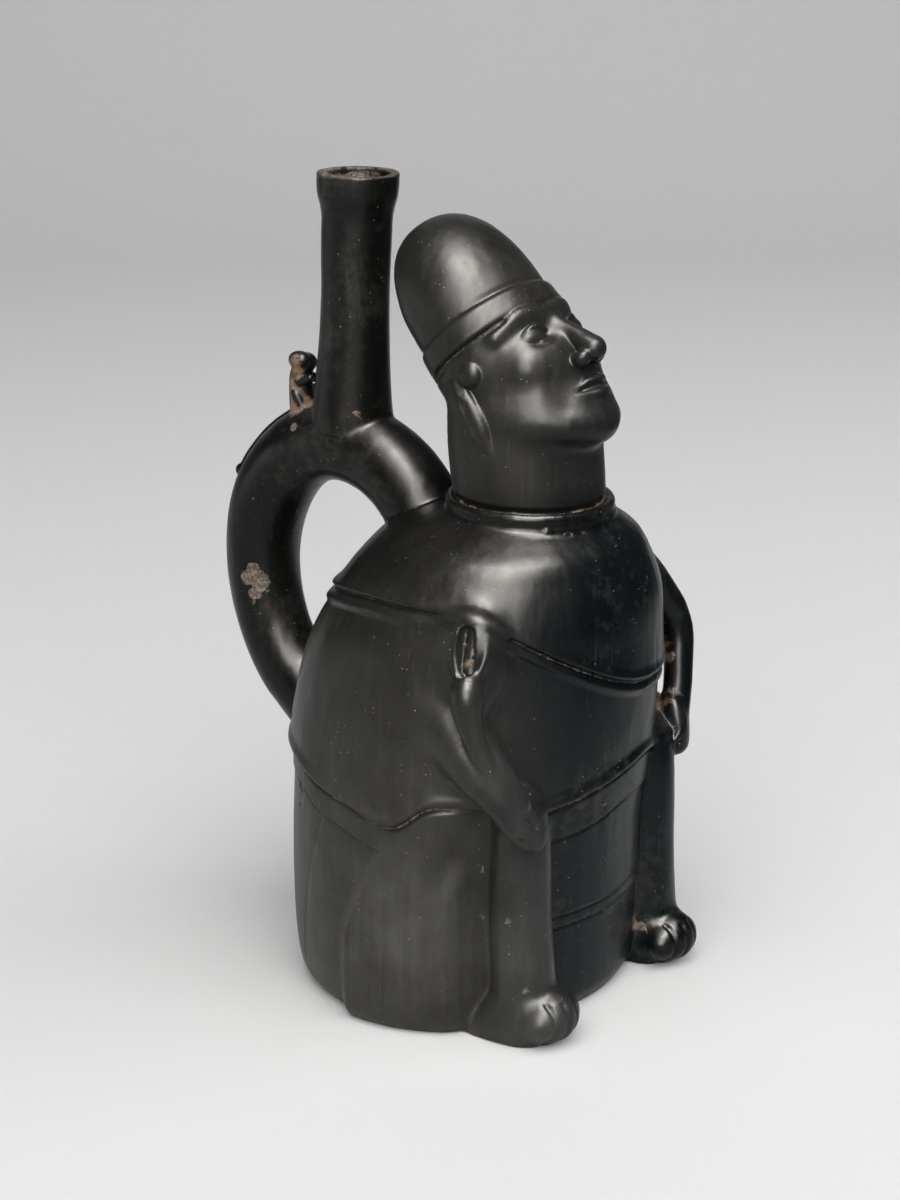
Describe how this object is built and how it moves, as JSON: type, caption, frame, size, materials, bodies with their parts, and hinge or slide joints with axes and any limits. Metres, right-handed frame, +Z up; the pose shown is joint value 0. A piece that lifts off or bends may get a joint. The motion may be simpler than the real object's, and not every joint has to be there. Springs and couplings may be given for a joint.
{
  "type": "effigy bottle",
  "caption": "Blackware stirrup-spout bottle modelled as a seated man in a round cap, his head tipped back, hands on his knees, with a hollow body and handle.",
  "frame": {"origin": "on the floor, in the middle of the body's width, at the axis that the body's sections are set out from", "axes": "+Z up along the spout, -Y the way the figure faces, +X towards the figure's left hand"},
  "size_m": [0.1107, 0.143, 0.224],
  "materials": {
    "burnished_blackware": "reduction-fired black clay, burnished to a soft sheen, worn and scratched"
  },
  "bodies": {
    "root": {"effigy_bottle": "burnished_blackware"}
  },
  "joints": []
}
